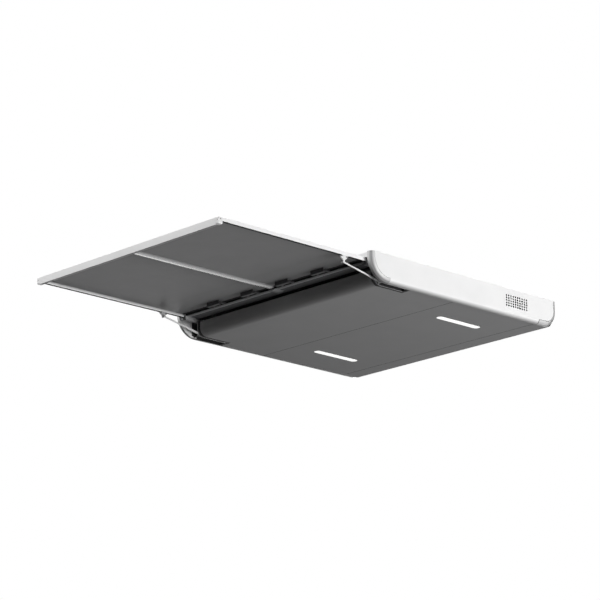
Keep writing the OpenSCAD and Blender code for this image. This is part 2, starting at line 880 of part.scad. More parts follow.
module centre_rib() {
    color("silver") place() union() {
        along_y(bar_back, panel_back) rib_section(sheet_z, rib_h);
        block([-rib_web / 2, bar_back, sheet_z - cut], [rib_web / 2, leaf_front, panel_top - laminate_sink]);
    }
}

module laminate_solid() {
    block([rib_web / 2, bar_back, sheet_z],
          [panel_half - panel_rail_w, leaf_front, panel_top - laminate_sink]);
}

module laminate_left() { color("midnightblue") on_side(-1) laminate_solid(); }
module laminate_right() { color("midnightblue") on_side(1) laminate_solid(); }

// Tapered bracket under a panel rail, with the strut's pin
module strut_bracket_solid() {
    base_z = panel_z - bracket_plate_t;
    head_x = eye_x - pin_head_gap - pin_head_t;
    union() {
        block([bracket_x - bracket_foot, pivot_y - bracket_l / 2, base_z],
              [panel_half, pivot_y + bracket_l / 2, panel_z]);
        along_x(bracket_x, bracket_x + bracket_t) union() {
            polygon([
                [pivot_y - bracket_l / 3, base_z + cut], [pivot_y + bracket_l / 3, base_z + cut],
                [pivot_y + eye_r, pivot_z], [pivot_y - eye_r, pivot_z]
            ]);
            translate([pivot_y, pivot_z]) circle(eye_r);
        }
        rod_x(pivot_y, pivot_z, strut_pin_r, head_x, bracket_x + cut);
        rod_x(pivot_y, pivot_z, pin_head_r, head_x, head_x + pin_head_t);
    }
}

module strut_bracket_left() { color("lightgray") on_side(-1) strut_bracket_solid(); }
module strut_bracket_right() { color("lightgray") on_side(1) strut_bracket_solid(); }

// Sunk screws in the end caps and heads under the brackets
module panel_screws() {
    color("black") for (side = [-1, 1]) {
        on_side(side) rod_y(panel_half - bar_cap / 2, face_screw_z, screw_r,
                            panel_front + screw_sink, panel_front + screw_depth);
        on_side(side) rod_x(panel_front + bar_d / 2, end_screw_z, screw_r,
                            panel_half - screw_depth, panel_half - screw_sink);
        for (end = [-1, 1])
            on_side(side) rod_z(panel_half - panel_rail_w / 2,
                                pivot_y + end * (bracket_l / 2 - head_r - head_edge), head_r,
                                panel_z - bracket_plate_t - head_h, panel_z - bracket_plate_t);
    }
}

// Puts a piece at the strut's pivot, with +Y along the strut
module along_strut() { translate([0, pivot_y, pivot_z]) rotate([-strut_angle, 0, 0]) children(); }

module strut_rod_solid() {
    middle = eye_x + eye_w / 2;
    difference() {
        union() {
            rod_x(pivot_y, pivot_z, eye_r, eye_x, eye_x + eye_w);
            along_strut() rod_y(middle, 0, strut_r, 0, strut_l - sleeve_l + cut);
        }
        rod_x(pivot_y, pivot_z, strut_pin_r + pin_clear, eye_x - cut, eye_x + eye_w + cut);
    }
}

module strut_rod_left() { color("gainsboro") on_side(-1) strut_rod_solid(); }
module strut_rod_right() { color("gainsboro") on_side(1) strut_rod_solid(); }

// Thicker end of the strut with a cross shoe that rests on the track
module strut_shoe_solid() {
    middle = eye_x + eye_w / 2;
    along_strut() difference() {
        union() {
            rod_y(middle, 0, sleeve_r, strut_l - sleeve_l, strut_l);
            rod_x(strut_l, 0, shoe_r, shoe_from, shoe_to);
        }
        rod_y(middle, 0, strut_r, strut_l - sleeve_l - cut, strut_l - sleeve_l + cut);
    }
}

module strut_shoe_left() { color("lightgray") on_side(-1) strut_shoe_solid(); }
module strut_shoe_right() { color("lightgray") on_side(1) strut_shoe_solid(); }

side_rail_left();
side_rail_right();
front_corner_left();
front_corner_right();
back_corner_left();
back_corner_right();
front_plate();
middle_plate();
back_plate();
rear_rail();
roof_cover();
roof_module_left();
roof_module_right();
guide_rail_left();
guide_rail_right();
guide_stops();
light_lens_left();
light_lens_right();
light_boards();
speaker_driver();
battery_left();
battery_right();
battery_straps();
charge_controller();
slot_liner_left();
slot_liner_right();
strut_track_left();
strut_track_right();
mouth_seal();
outlet_socket();
carriage_front_bar();
carriage_rear_bar();
carriage_end_left();
carriage_end_right();
carriage_stub();
carriage_covers();
roller_axles();
hinge_carriage_leaves();
hinge_pins();
roller_front_left();
roller_front_right();
roller_rear_left();
roller_rear_right();
panel_rail_left();
panel_rail_right();
panel_rear_rail();
front_bar();
bar_cap_left();
bar_cap_right();
centre_rib();
laminate_left();
laminate_right();
hinge_panel_leaves();
strut_bracket_left();
strut_bracket_right();
panel_screws();
strut_rod_left();
strut_rod_right();
strut_shoe_left();
strut_shoe_right();
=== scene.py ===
"""Looks of a retractable solar awning cassette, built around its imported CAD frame."""

import math

import bmesh
import bpy
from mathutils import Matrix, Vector


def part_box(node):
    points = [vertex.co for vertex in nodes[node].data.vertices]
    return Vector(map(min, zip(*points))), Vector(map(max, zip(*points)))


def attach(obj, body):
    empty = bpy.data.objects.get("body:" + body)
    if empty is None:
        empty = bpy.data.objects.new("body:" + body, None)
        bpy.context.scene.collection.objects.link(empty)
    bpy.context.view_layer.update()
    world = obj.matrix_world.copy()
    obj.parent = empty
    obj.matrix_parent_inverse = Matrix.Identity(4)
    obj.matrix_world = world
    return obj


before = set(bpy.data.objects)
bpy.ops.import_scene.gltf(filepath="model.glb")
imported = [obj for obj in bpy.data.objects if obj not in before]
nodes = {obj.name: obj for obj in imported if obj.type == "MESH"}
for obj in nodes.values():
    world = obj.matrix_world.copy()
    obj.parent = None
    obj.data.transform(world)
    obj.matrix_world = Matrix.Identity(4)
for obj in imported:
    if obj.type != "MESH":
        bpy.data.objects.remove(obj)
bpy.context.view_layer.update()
scene = bpy.context.scene
scene.view_settings.view_transform = "Standard"

MM = 0.001

# Camera, fitted to the photograph
IMAGE_PX = 600
FOCAL_PX = 2726.4
CENTRE_PX = (301.0, 300.24)
SENSOR_MM = 36
EYE = Vector((9.641, -8.9647, -3.7451))
FORWARD = Vector((-0.70257, 0.65463, 0.27902))

camera = bpy.data.objects.new("camera", bpy.data.cameras.new("camera"))
scene.collection.objects.link(camera)
scene.camera = camera
camera.location = EYE
camera.rotation_mode = "QUATERNION"
camera.rotation_quaternion = FORWARD.to_track_quat("-Z", "Y")
camera.data.sensor_width = SENSOR_MM
camera.data.lens = FOCAL_PX * SENSOR_MM / IMAGE_PX
camera.data.shift_x = (IMAGE_PX / 2 - CENTRE_PX[0]) / IMAGE_PX
camera.data.shift_y = (CENTRE_PX[1] - IMAGE_PX / 2) / IMAGE_PX
camera.data.clip_end = 200


# Materials

# Heights between which inner faces take painted shade, at their foot and toward their top
STEP_SHADE_TONE = (0.135, 0.135, 0.137)
STEP_LOW = 5 * MM
STEP_HIGH = 7 * MM
SHADE_TONE = (0.2, 0.2, 0.202)
SHADE_LOW = 40 * MM
SHADE_HIGH = 85 * MM
# Share of a normal along Z between which a face counts as looking down, for painted shade on faces that look
# down
DOWN_FULL = -0.97
DOWN_NONE = -0.35
# Painted shade on a trim's faces that look down
FOOT_SHADE_TONE = (0.03, 0.03, 0.03)
RUBBED_TONE = 0.75
RUBBED_W = 1.5 * MM
GRAIN_STRENGTH = 0.25
COAT_DEPTH = 0.06 * MM
MOULD_DEPTH = 0.03 * MM
MOULD_GRAIN = 420.0
COAT_GRAIN = 700.0
ROUGH_SPREAD = 0.05


class Look:
    """One procedural material, with short ways to wire its nodes."""

    def __init__(self, name, **sockets):
        self.material = bpy.data.materials.new(name)
        self.material.use_nodes = True
        self.tree = self.material.node_tree
        self.shader = self.tree.nodes["Principled BSDF"]
        self.place = self.add("ShaderNodeTexCoord").outputs["Object"]
        for socket, value in sockets.items():
            self.shader.inputs[socket.replace("_", " ")].default_value = value

    def add(self, kind, **settings):
        node = self.tree.nodes.new(kind)
        for key, value in settings.items():
            setattr(node, key, value)
        return node

    def link(self, source, target):
        self.tree.links.new(source, target)

    def feed(self, socket, value):
        if isinstance(value, bpy.types.NodeSocket):
            self.link(value, socket)
        else:
            socket.default_value = value

    def math(self, operation, first, second=0.0):
        node = self.add("ShaderNodeMath", operation=operation)
        self.feed(node.inputs[0], first)
        self.feed(node.inputs[1], second)
        return node.outputs[0]

    def noise(self, scale, detail=3.0, stretch=(1, 1, 1)):
        mapping = self.add("ShaderNodeMapping")
        mapping.inputs["Scale"].default_value = stretch
        self.link(self.place, mapping.inputs["Vector"])
        node = self.add("ShaderNodeTexNoise")
        node.inputs["Scale"].default_value = scale
        node.inputs["Detail"].default_value = detail
        self.link(mapping.outputs["Vector"], node.inputs["Vector"])
        return node.outputs["Fac"]

    def span(self, value, low, high, start=0.3, end=0.7):
        node = self.add("ShaderNodeMapRange")
        self.feed(node.inputs["Value"], value)
        for key, number in (("From Min", start), ("From Max", end), ("To Min", low), ("To Max", high)):
            node.inputs[key].default_value = number
        return node.outputs["Result"]

    def mix(self, factor, first, second):
        node = self.add("ShaderNodeMix", data_type="RGBA")
        self.feed(node.inputs["Factor"], factor)
        for key, value in (("A", first), ("B", second)):
            socket = next(s for s in node.inputs if s.name == key and s.type == "RGBA")
            self.feed(socket, value if isinstance(value, bpy.types.NodeSocket) else (*value, 1.0))
        return next(s for s in node.outputs if s.type == "RGBA")

    def colour(self, value):
        self.link(value, self.shader.inputs["Base Color"])

    def rough(self, value):
        self.link(value, self.shader.inputs["Roughness"])

    def bump(self, height, strength, depth):
        node = self.add("ShaderNodeBump")
        node.inputs["Strength"].default_value = strength
        node.inputs["Distance"].default_value = depth
        self.link(height, node.inputs["Height"])
        self.link(node.outputs["Normal"], self.shader.inputs["Normal"])

    def grained(self, fine, rough_low, rough_high, depth):
        """Roughness and bump that both follow one fine grain."""
        self.rough(self.span(fine, rough_low, rough_high))
        self.bump(fine, GRAIN_STRENGTH, depth)

    def facing(self, axis):
        """The smooth normal's share along one axis, in the object's own frame."""
        normal = self.add("ShaderNodeNewGeometry").outputs["Normal"]
        turn = self.add("ShaderNodeVectorTransform", vector_type="NORMAL",
                        convert_from="WORLD", convert_to="OBJECT")
        self.link(normal, turn.inputs[0])
        parts = self.add("ShaderNodeSeparateXYZ")
        self.link(turn.outputs[0], parts.inputs[0])
        return parts.outputs[axis]

    def inward(self, outward):
        """1 on faces that look toward the middle, for a piece on the side that outward points to."""
        return self.span(self.math("MULTIPLY", self.facing(0), -outward), 0.0, 1.0, 0.5, 0.9)

    def underside(self, base, tone):
        """Painted shade: faces that look down blend into a darker second tone."""
        return self.mix(self.span(self.facing(2), 1.0, 0.0, DOWN_FULL, DOWN_NONE), base, tone)

    def shade_inside(self, base, outward):
        """Painted shade: darkens the foot and the upper part of faces that look toward the middle."""
        inside = self.inward(outward)
        foot = self.span(self.along(2), 1.0, 0.0, STEP_LOW, STEP_HIGH)
        high = self.span(self.along(2), 0.0, 1.0, SHADE_LOW, SHADE_HIGH)
        stepped = self.mix(self.math("MULTIPLY", inside, foot), base, STEP_SHADE_TONE)
        return self.mix(self.math("MULTIPLY", inside, high), stepped, SHADE_TONE)

    def along(self, axis):
        """The place along one axis, in metres, in the object's own frame."""
        parts = self.add("ShaderNodeSeparateXYZ")
        self.link(self.place, parts.inputs[0])
        return parts.outputs[axis]

    def edge(self, radius):
        """Near 1 along sharp edges and 0 on flat faces."""
        bevel = self.add("ShaderNodeBevel", samples=4)
        bevel.inputs["Radius"].default_value = radius
        normal = self.add("ShaderNodeNewGeometry").outputs["True Normal"]
        dot = self.add("ShaderNodeVectorMath", operation="DOT_PRODUCT")
        self.link(bevel.outputs["Normal"], dot.inputs[0])
        self.link(normal, dot.inputs[1])
        return self.span(dot.outputs["Value"], 1.0, 0.0, 0.8, 0.99)


def coated(name, colour, rough, grain=COAT_GRAIN, depth=COAT_DEPTH, sheen=0.5, spread=0.03, worn=0.0,
           under=None, outward=0):
    """Powder coat or moulded plastic: fine grain, slow cloudiness and slightly rubbed edges.

    With the under tone, faces that look down blend into it as painted shade. With outward, faces
    that look the other way, toward the middle, take painted shade at their foot and top.
    """
    look = Look(name, Specular_IOR_Level=sheen)
    cloud = look.noise(5.0, 4.0)
    fine = look.noise(grain, 2.0)
    dark = tuple(c * (1 - spread) for c in colour)
    light = tuple(min(1.0, c * (1 + spread)) for c in colour)
    base = look.mix(look.span(cloud, 0, 1), dark, light)
    if under:
        base = look.underside(base, under)
    if outward:
        base = look.shade_inside(base, outward)
    if worn:
        rubbed = tuple(c + (RUBBED_TONE - c) * worn for c in colour)
        base = look.mix(look.edge(RUBBED_W), base, rubbed)
    look.colour(base)
    grainy = look.span(fine, rough - ROUGH_SPREAD, rough + ROUGH_SPREAD)
    look.rough(look.math("ADD", grainy, look.span(cloud, -0.03, 0.03)))
    look.bump(fine, GRAIN_STRENGTH, depth)
    return look.material


def shaded_trim(name, colour, edge, rough, outward):
    """Moulded trim: pale faces, painted shade as a grey soft band along its rounding and as a dark foot where
    it looks down.

    Faces that look toward the middle take painted shade at their foot and top.
    """
    look = Look(name, Specular_IOR_Level=0.5)
    fine = look.noise(MOULD_GRAIN, 2.0)
    cloud = look.noise(5.0, 4.0)
    side = look.math("ABSOLUTE", look.facing(0))
    rise = look.span(side, 0.0, 1.0, 0.15, 0.65)
    fall = look.span(side, 1.0, 0.0, 0.7, 0.99)
    pale = look.mix(look.span(cloud, 0, 1), tuple(0.97 * c for c in colour), colour)
    edge_shaded = look.mix(look.math("MULTIPLY", rise, fall), pale, edge)
    down = look.span(look.facing(2), 1.0, 0.0, -0.7, -0.2)
    inner = look.span(side, 1.0, 0.0, 0.2, 0.6)
    foot_shaded = look.mix(look.math("MULTIPLY", down, inner), edge_shaded, FOOT_SHADE_TONE)
    look.colour(look.shade_inside(foot_shaded, outward))
    look.grained(fine, rough - ROUGH_SPREAD, rough + ROUGH_SPREAD, MOULD_DEPTH)
    return look.material


def back_trim(name, colour, edge, under, rough, outward):
    """Moulded trim at the back: pale faces, painted shade as a grey soft band on its rounding toward the
    back, and the painted underside shade below.

    Faces that look toward the middle take painted shade at their foot and top.
    """
    look = Look(name, Specular_IOR_Level=0.5)
    fine = look.noise(MOULD_GRAIN, 2.0)
    cloud = look.noise(5.0, 4.0)
    pale = look.mix(look.span(cloud, 0, 1), tuple(0.97 * c for c in colour), colour)
    turned = look.facing(1)
    rise = look.span(turned, 0.0, 1.0, 0.03, 0.3)
    fall = look.span(turned, 1.0, 0.0, 0.8, 0.95)
    edge_shaded = look.mix(look.math("MULTIPLY", rise, fall), pale, edge)
    look.colour(look.shade_inside(look.underside(edge_shaded, under), outward))
    look.grained(fine, rough - ROUGH_SPREAD, rough + ROUGH_SPREAD, MOULD_DEPTH)
    return look.material


def inner_shaded(name, colour, inner, outward, low, high):
    """White part whose faces toward the middle take painted shade, fading into a grey between two heights."""
    look = Look(name, Specular_IOR_Level=0.3)
    fine = look.noise(COAT_GRAIN, 2.0)
    rise = look.span(look.along(2), 0.0, 1.0, low, high)
    look.colour(look.mix(look.math("MULTIPLY", look.inward(outward), rise), colour, inner))
    look.grained(fine, 0.33, 0.43, COAT_DEPTH)
    return look.material


def carriage_shaded(name, node, near, far, face):
    """Carriage part with a set tone on the front face and an underside whose tone changes toward its back; on
    the front bar these are painted shade, near black on the front face, and painted light, paler toward the
    back.
    """
    low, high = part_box(node)
    look = Look(name, Specular_IOR_Level=0.03)
    fine = look.noise(COAT_GRAIN, 2.0)
    under = look.mix(look.span(look.along(1), 0.0, 1.0, low.y, high.y), near, far)
    front = look.span(look.facing(1), 1.0, 0.0, -0.9, -0.5)
    look.colour(look.mix(front, under, face))
    look.grained(fine, 0.4, 0.5, COAT_DEPTH)
    return look.material


# Places across the rib between which a painted highlight of bright metal gives way to grey
RIB_HIGHLIGHT_X = -8 * MM
RIB_GREY_X = 27 * MM
RIB_GREY = (0.2, 0.2, 0.203)
RIB_HIGHLIGHT_METAL = (0.95, 0.95, 0.95)


def rib_painted_highlight():
    """Rounded rib: grey on one flank, with a painted highlight of bright metal along the other."""
    look = Look("rib_grey", Specular_IOR_Level=0.3)
    fine = look.noise(380.0, 2.0)
    highlight = look.span(look.along(0), 1.0, 0.0, RIB_HIGHLIGHT_X, RIB_GREY_X)
    look.colour(look.mix(highlight, RIB_GREY, RIB_HIGHLIGHT_METAL))
    look.link(highlight, look.shader.inputs["Metallic"])
    look.grained(fine, 0.22, 0.28, 0.01 * MM)
    return look.material


# Stretches of the noise that make streaks along X or Y
ALONG_X = (0.02, 1, 1)
ALONG_Y = (1, 0.02, 1)
STREAK_SCALE = 900.0


def metal(name, colour, rough, along):
    """Drawn or brushed metal with streaks along one axis."""
    look = Look(name, Metallic=1.0)
    streak = look.noise(STREAK_SCALE, 3.0, along)
    cloud = look.noise(9.0, 4.0)
    dark = tuple(c * 0.9 for c in colour)
    look.colour(look.mix(look.span(streak, 0, 1), dark, colour))
    streaky = look.span(streak, rough - 0.06, rough + 0.06)
    look.rough(look.math("ADD", streaky, look.span(cloud, -0.04, 0.04)))
    look.bump(streak, 0.15, 0.00004)
    return look.material


OUTWARD = {"left": -1, "right": 1}

SHELL_TONE = (0.87, 0.87, 0.87)
PLATE_TONE = (0.455, 0.455, 0.459)
# Painted shade that faces looking down blend into, on the white rails, roof cover and back trims
UNDER_SHADE_TONE = (0.385, 0.385, 0.388)
shell_white = coated("shell_white", SHELL_TONE, 0.42, sheen=0.2, under=UNDER_SHADE_TONE)
rail_white = {side: coated("rail_white_" + side, SHELL_TONE, 0.42, sheen=0.2, under=UNDER_SHADE_TONE,
                           outward=outward)
              for side, outward in OUTWARD.items()}
# Front trims: the edge tone is painted shade along the rounding
trim_white = {side: shaded_trim("trim_white_" + side, (0.70, 0.70, 0.70), (0.27, 0.27, 0.275), 0.3, outward)
              for side, outward in OUTWARD.items()}
# Back trims: the edge tone is painted shade on the rounding toward the back
back_white = {side: back_trim("back_white_" + side, (0.66, 0.66, 0.66), (0.08, 0.08, 0.081), UNDER_SHADE_TONE,
                              0.3, outward)
              for side, outward in OUTWARD.items()}
cap_white = coated("cap_white", (0.82, 0.82, 0.82), 0.28, grain=420.0, depth=0.00003)
# Panel rails: painted shade, grey on their inner faces toward the laminate
panel_white = {side: inner_shaded("panel_white_" + side, (0.91, 0.91, 0.91), (0.29, 0.29, 0.292), outward,
                           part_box("panel_rail_" + side)[0].z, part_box("laminate_" + side)[0].z)
               for side, outward in OUTWARD.items()}
# Strut brackets: painted shade, grey on their inner faces
bracket_white = {side: inner_shaded("bracket_white_" + side, (0.78, 0.78, 0.78), (0.36, 0.36, 0.363), outward,
                             0.0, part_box("strut_bracket_" + side)[0].z)
                 for side, outward in OUTWARD.items()}
# Front bar: painted shade, dark grey on faces that look down
bar_white = coated("bar_white", (0.85, 0.85, 0.85), 0.38, sheen=0.2, under=(0.2, 0.2, 0.203))
plate_grey = coated("plate_grey", PLATE_TONE, 0.8, grain=520.0, depth=0.0001, sheen=0.05)
sheet_grey = coated("sheet_grey", (0.2, 0.2, 0.203), 0.4, grain=380.0, depth=0.00005, sheen=0.1)
rib_grey = rib_painted_highlight()
stub_grey = coated("stub_grey", (0.30, 0.30, 0.305), 0.3, grain=380.0, depth=0.00001, sheen=0.5)
block_grey = carriage_shaded("block_grey", "carriage_end_left", (0.38, 0.38, 0.384), (0.30, 0.30, 0.303),
                          (0.34, 0.34, 0.343))
# Carriage front bar: painted shade, near black, on its front face, and painted light on its underside, paler
# toward its back
bar_grey = carriage_shaded("bar_grey", "carriage_front_bar", (0.17, 0.17, 0.173), (0.60, 0.60, 0.605),
                        (0.012, 0.012, 0.012))
dark_grey = coated("dark_grey", (0.12, 0.12, 0.125), 0.5, sheen=0.3)
liner_grey = coated("liner_grey", (0.04, 0.04, 0.041), 0.6, sheen=0.08)
rim_grey = coated("rim_grey", (0.30, 0.30, 0.305), 0.35, sheen=0.5)
black_plastic = coated("black_plastic", (0.012, 0.012, 0.012), 0.6, grain=900.0, depth=0.00012, sheen=0.08)
black_rubber = coated("black_rubber", (0.012, 0.012, 0.012), 0.75, grain=1100.0, depth=0.0002, sheen=0.08)
hinge_black = coated("hinge_black", (0.016, 0.016, 0.017), 0.45, sheen=0.3, worn=0.05)
board_green = coated("board_green", (0.02, 0.12, 0.05), 0.35, spread=0.2)
case_grey = coated("case_grey", (0.12, 0.13, 0.15), 0.55, grain=300.0, depth=0.0003)
speaker_cloth = coated("speaker_cloth", (0.004, 0.004, 0.004), 0.8, grain=2500.0, depth=0.0003, sheen=0.03)
nylon = coated("nylon", (0.22, 0.22, 0.22), 0.45)
aluminium = metal("aluminium", (0.72, 0.73, 0.74), 0.36, ALONG_Y)
sink_black = metal("sink_black", (0.05, 0.05, 0.055), 0.45, ALONG_Y)
steel = metal("steel", (0.62, 0.62, 0.62), 0.28, ALONG_X)
strut_metal = coated("strut_metal", (0.78, 0.78, 0.78), 0.3, grain=800.0, depth=0.00003)


def lit_lens():
    """Milky diffuser, lit from behind, with faint soft spots."""
    look = Look("lit_lens", Roughness=0.35)
    spots = look.noise(60.0, 1.0)
    look.colour(look.mix(look.span(spots, 0, 1), (0.9, 0.9, 0.88), (0.95, 0.95, 0.94)))
    look.bump(look.noise(1500.0, 2.0), 0.2, 0.00005)
    look.link(look.span(spots, 0.66, 0.76), look.shader.inputs["Emission Strength"])
    look.shader.inputs["Emission Color"].default_value = (1.0, 1.0, 0.98, 1.0)
    return look.material


# Painted shade on the sheet left of the rib, and painted light as a paler stretch at the sheet's rear edge
RIB_SHADE_FAR = 274 * MM
RIB_SHADE_NEAR = 24 * MM
RIB_SHADE_FALL = 3.0
RIB_SHADE_TONE = (0.11, 0.11, 0.112)
REAR_LIGHT_W = 115 * MM
REAR_LIGHT_TONE = (0.31, 0.31, 0.313)
GLASS_TONE = (0.012, 0.014, 0.02)


def laminate():
    """Dark glass on top, grey back sheet underneath, with painted shade beside the rib and painted light
    along the rear edge.
    """
    look = Look("laminate", Specular_IOR_Level=0.08)
    top = look.span(look.facing(2), 0, 1, 0.3, 0.7)
    cloud = look.noise(7.0, 4.0)
    sheet = look.mix(look.span(cloud, 0, 1), (0.19, 0.19, 0.193), (0.205, 0.205, 0.208))
    toward = look.span(look.along(0), 0.0, 1.0, -RIB_SHADE_FAR, -RIB_SHADE_NEAR)
    beside = look.span(look.along(0), 1.0, 0.0, -RIB_SHADE_NEAR, 0.0)
    shade = look.math("MULTIPLY", look.math("POWER", toward, RIB_SHADE_FALL), beside)
    sheet = look.mix(shade, sheet, RIB_SHADE_TONE)
    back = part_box("laminate_left")[1].y
    rear = look.span(look.along(1), 0.0, 1.0, back - REAR_LIGHT_W, back)
    sheet = look.mix(rear, sheet, REAR_LIGHT_TONE)
    look.colour(look.mix(top, sheet, GLASS_TONE))
    fine = look.noise(MOULD_GRAIN, 2.0)
    look.rough(look.span(top, 0.26, 0.3, 0.0, 1.0))
    look.bump(fine, 0.15, 0.00004)
    return look.material


def cell_glass():
    """Dark blue-black cells under glass, each a little different."""
    look = Look("cell_glass", Specular_IOR_Level=0.12, Roughness=0.3)
    island = look.add("ShaderNodeNewGeometry").outputs["Random Per Island"]
    grain = look.noise(240.0, 3.0)
    base = look.mix(island, (0.010, 0.014, 0.030), (0.016, 0.022, 0.048))
    look.colour(look.mix(look.span(grain, 0.0, 0.35), base, (0.03, 0.04, 0.075)))
    look.bump(grain, 0.05, 0.00003)
    return look.material


lens_light = lit_lens()
laminate_look = laminate()
cell_look = cell_glass()
ribbon = metal("ribbon", (0.55, 0.56, 0.58), 0.35, ALONG_Y)

LOOKS = {
    "roof_cover rear_rail": shell_white,
    "side_rail_left": rail_white["left"],
    "side_rail_right": rail_white["right"],
    "front_corner_left": trim_white["left"],
    "front_corner_right": trim_white["right"],
    "back_corner_left": back_white["left"],
    "back_corner_right": back_white["right"],
    "bar_cap_left bar_cap_right": cap_white,
    "panel_rail_left": panel_white["left"],
    "panel_rail_right": panel_white["right"],
    "front_bar": bar_white,
    "front_plate middle_plate back_plate": plate_grey,
    "panel_rear_rail": sheet_grey,
    "roof_module_left roof_module_right laminate_left laminate_right": laminate_look,
    "guide_rail_left guide_rail_right": aluminium,
    "centre_rib": rib_grey,
    "carriage_stub": stub_grey,
    "carriage_end_left carriage_end_right": block_grey,
    "carriage_front_bar": bar_grey,
    "carriage_covers": dark_grey,
    "slot_liner_left slot_liner_right": liner_grey,
    "carriage_rear_bar strut_track_left strut_track_right outlet_socket speaker_driver": black_plastic,
    "guide_stops mouth_seal": black_rubber,
    "light_lens_left light_lens_right": lens_light,
    "light_boards": board_green,
    "battery_left battery_right": case_grey,
    "charge_controller": sink_black,
    "roller_axles battery_straps": steel,
    "roller_front_left roller_front_right roller_rear_left roller_rear_right": nylon,
    "hinge_carriage_leaves hinge_panel_leaves hinge_pins panel_screws": hinge_black,
    "strut_bracket_left": bracket_white["left"],
    "strut_bracket_right": bracket_white["right"],
    "strut_rod_left strut_rod_right strut_shoe_left strut_shoe_right": strut_metal,
}
for names, material in LOOKS.items():
    for name in names.split():
        for slot in nodes[name].material_slots:
            slot.material = material


# Sizes that boxes can't give, as the CAD source has them
FRONT_R = 120 * MM
BACK_R = 84 * MM
EDGE_R = 23 * MM
TRIM_GAP = 0.6 * MM
PLATE_R = 42 * MM
SLOT_RIM = 18 * MM
SLOT_INNER = 651.1 * MM
BRACKET_IN = 663.6 * MM
HINGE_XS = (-385 * MM, -128 * MM, 128 * MM, 385 * MM)
GRILLE_COLUMNS = 10
GRILLE_ROWS = 5


# Pieces made here

def piece(name, mesh, material, body):
    """A new object from a bmesh, riding on a body."""
    data = bpy.data.meshes.new(name)
    mesh.to_mesh(data)
    mesh.free()
    data.materials.append(material)
    made = bpy.data.objects.new(name, data)
    scene.collection.objects.link(made)
    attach(made, body)


def prism(mesh, outline, low, high):
    """A closed upright prism over an outline of X and Y points."""
    bottom = [mesh.verts.new((x, y, low)) for x, y in outline]
    top = [mesh.verts.new((x, y, high)) for x, y in outline]
    mesh.faces.new(bottom[::-1])
    mesh.faces.new(top)
    for i in range(len(outline)):
        j = (i + 1) % len(outline)
        mesh.faces.new((bottom[i], bottom[j], top[j], top[i]))


def box_outline(low, high):
    """The four X and Y corners between two points."""
    return [(low[0], low[1]), (high[0], low[1]), (high[0], high[1]), (low[0], high[1])]


def bar(mesh, outline, left, right):
    """A closed prism along X over an outline of Y and Z points."""
    near = [mesh.verts.new((left, y, z)) for y, z in outline]
    far = [mesh.verts.new((right, y, z)) for y, z in outline]
    mesh.faces.new(near[::-1])
    mesh.faces.new(far)
    for i in range(len(outline)):
        j = (i + 1) % len(outline)
        mesh.faces.new((near[i], near[j], far[j], far[i]))


def circle(y, z, radius, sides):
    """Points of a circle in the Y and Z plane."""
    turns = [2 * math.pi * i / sides for i in range(sides)]
    return [(y + radius * math.cos(t), z + radius * math.sin(t)) for t in turns]


def rail_face(side):
    """The X of a side rail's outer face."""
    low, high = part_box("side_rail_" + side)
    return high.x if side == "right" else low.x


CELL_GAP = 2.4 * MM
CELL_CORNER = 7 * MM
CELL_SINK = 0.1 * MM
CELL_RISE = 0.1 * MM
MODULE_EDGE = 11 * MM
RIBBON_W = 1.3 * MM
RIBBON_RISE = 0.14 * MM
RIBBONS = 5


def solar_cells(node, body, columns, rows):
    """Cells with cut corners in a grid on a module's top face, and the ribbons along them."""
    low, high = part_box(node)
    left, front = low.x + MODULE_EDGE, low.y + MODULE_EDGE
    wide = (high.x - low.x - 2 * MODULE_EDGE) / columns
    long = (high.y - low.y - 2 * MODULE_EDGE) / rows
    cells, ribbons = bmesh.new(), bmesh.new()
    for column in range(columns):
        x0, x1 = left + column * wide + CELL_GAP / 2, left + (column + 1) * wide - CELL_GAP / 2
        for row in range(rows):
            y0, y1 = front + row * long + CELL_GAP / 2, front + (row + 1) * long - CELL_GAP / 2
            cut = CELL_CORNER
            outline = [(x0 + cut, y0), (x1 - cut, y0), (x1, y0 + cut), (x1, y1 - cut),
                       (x1 - cut, y1), (x0 + cut, y1), (x0, y1 - cut), (x0, y0 + cut)]
            prism(cells, outline, high.z - CELL_SINK, high.z + CELL_RISE)
        for place in range(RIBBONS):
            x = x0 + (place + 0.5) * (x1 - x0) / RIBBONS
            outline = box_outline((x - RIBBON_W / 2, front), (x + RIBBON_W / 2, front + rows * long))
            prism(ribbons, outline, high.z, high.z + RIBBON_RISE)
    piece(node + "_cells", cells, cell_look, body)
    piece(node + "_ribbons", ribbons, ribbon, body)


for side in OUTWARD:
    solar_cells("roof_module_" + side, "cassette", 4, 15)
    solar_cells("laminate_" + side, "panel", 4, 10)


MESH_R = 6.3 * MM
MESH_T = 0.5 * MM
MESH_PROUD = 0.12 * MM
MESH_DOME = 0.3 * MM
MESH_CROWN = 0.6
MESH_SIDES = 20


def speaker_mesh():
    """A slightly domed black cloth disc over each speaker hole and its rim, seated in the rail's face."""
    low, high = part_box("speaker_driver")
    face = rail_face("right") + MESH_PROUD
    steps = ((face - MESH_T, MESH_R), (face - MESH_DOME, MESH_R), (face - MESH_DOME / 3, MESH_CROWN * MESH_R))
    discs = bmesh.new()
    for column in range(GRILLE_COLUMNS):
        y = low.y + (column + 0.5) * (high.y - low.y) / GRILLE_COLUMNS
        for row in range(GRILLE_ROWS):
            z = low.z + (row + 0.5) * (high.z - low.z) / GRILLE_ROWS
            rings = [[discs.verts.new((x, *point)) for point in circle(y, z, radius, MESH_SIDES)]
                     for x, radius in steps]
            tip = discs.verts.new((face, y, z))
            discs.faces.new(rings[0][::-1])
            for i in range(MESH_SIDES):
                j = (i + 1) % MESH_SIDES
                for inner, outer in zip(rings, rings[1:]):
                    discs.faces.new((inner[i], inner[j], outer[j], outer[i]))
                discs.faces.new((rings[-1][i], rings[-1][j], tip))
    piece("speaker_mesh", discs, speaker_cloth, "cassette")


speaker_mesh()


